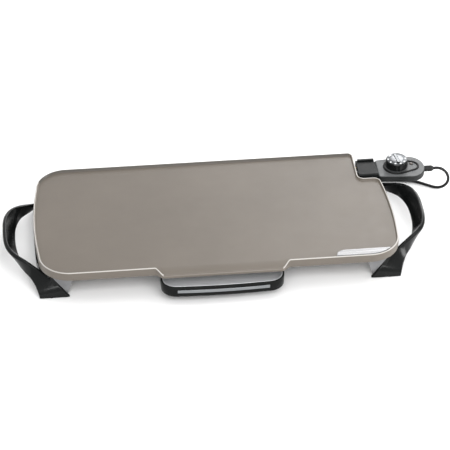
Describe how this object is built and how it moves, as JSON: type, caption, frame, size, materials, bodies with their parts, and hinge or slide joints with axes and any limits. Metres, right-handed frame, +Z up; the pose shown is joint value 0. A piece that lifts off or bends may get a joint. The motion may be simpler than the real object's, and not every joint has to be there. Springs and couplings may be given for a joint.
{
  "type": "electric griddle",
  "caption": "Wide flat electric griddle with a coated plate and pouring lip, push-in side handles with legs, a slide-out grease tray and a plug-in heat control with its lead.",
  "frame": {"origin": "on the table, under the middle of the object's box without its lead", "axes": "+X towards the heat control, -Y towards the grease tray at the front, +Z up"},
  "size_m": [0.7398, 0.3604, 0.076],
  "materials": {
    "ceramic_coat": "die-cast aluminium with a satin warm-grey ceramic coat",
    "polished_trim": "bright polished strip",
    "bare_aluminium": "bright drawn sheet",
    "black_phenolic": "glossy moulded heat-resistant plastic",
    "control_grey": "satin charcoal moulding",
    "black_rubber": "matte black",
    "porcelain": "unglazed insulator",
    "brass": "plain",
    "element_sheath": "heat-darkened sheath",
    "amber_lens": "tinted clear lens",
    "lamp_glass": "clear",
    "plated_steel": "zinc-plated"
  },
  "bodies": {
    "plate": {"badge_plate": "polished_trim", "element_clip_front": "plated_steel", "element_clip_rear": "plated_steel", "griddle_plate": "ceramic_coat", "heating_element": "element_sheath", "hood_screw_1": "plated_steel", "hood_screw_2": "plated_steel", "rail_screw_1": "plated_steel", "rail_screw_2": "plated_steel", "rail_screw_3": "plated_steel", "rail_screw_4": "plated_steel", "terminal_bushing_front": "porcelain", "terminal_bushing_rear": "porcelain", "terminal_hood": "black_phenolic", "terminal_pin_front": "brass", "terminal_pin_rear": "brass", "tray_rail_left": "plated_steel", "tray_rail_right": "plated_steel"},
    "tray": {"tray_body": "black_phenolic", "tray_pan": "bare_aluminium", "tray_trim_band": "polished_trim"},
    "left_handle": {"left_front_foot": "black_rubber", "left_front_spring_clip": "plated_steel", "left_front_tongue": "plated_steel", "left_handle": "black_phenolic", "left_rear_foot": "black_rubber", "left_rear_spring_clip": "plated_steel", "left_rear_tongue": "plated_steel", "left_tongue_screw_1": "plated_steel", "left_tongue_screw_2": "plated_steel"},
    "right_handle": {"right_front_foot": "black_rubber", "right_front_spring_clip": "plated_steel", "right_front_tongue": "plated_steel", "right_handle": "black_phenolic", "right_rear_foot": "black_rubber", "right_rear_spring_clip": "plated_steel", "right_rear_tongue": "plated_steel", "right_tongue_screw_1": "plated_steel", "right_tongue_screw_2": "plated_steel"},
    "control": {"control_base": "control_grey", "control_cover": "control_grey", "control_screw": "plated_steel", "dial_bezel": "black_phenolic", "pilot_lens": "amber_lens", "pilot_lamp": "lamp_glass", "contact_block": "porcelain", "contact_sleeve_front": "brass", "contact_sleeve_rear": "brass", "probe_tube": "plated_steel", "thermostat_frame": "plated_steel", "bimetal_blade": "brass", "strain_relief": "black_rubber", "power_cord": "black_rubber", "cord_coil": "black_rubber", "plug_body": "black_rubber", "plug_blade_front": "brass", "plug_blade_rear": "brass"},
    "knob": {"knob": "black_phenolic", "knob_face": "polished_trim", "knob_shaft": "plated_steel"}
  },
  "joints": [
    {"name": "tray_slide", "type": "slide", "parent": "plate", "child": "tray", "axis": [0, -1, 0], "range_m": [0, 0.2]},
    {"name": "left_handle_slide", "type": "slide", "parent": "plate", "child": "left_handle", "axis": [-1, 0, 0], "range_m": [0, 0.055]},
    {"name": "right_handle_slide", "type": "slide", "parent": "plate", "child": "right_handle", "axis": [1, 0, 0], "range_m": [0, 0.055]},
    {"name": "control_slide", "type": "slide", "parent": "plate", "child": "control", "axis": [1, 0, 0], "range_m": [0, 0.1]},
    {"name": "knob_turn", "type": "hinge", "parent": "control", "child": "knob", "pos_m": [0.30106, 0.10825, 0.064], "axis": [0, 0, 1], "range_deg": [-265, 0]}
  ]
}
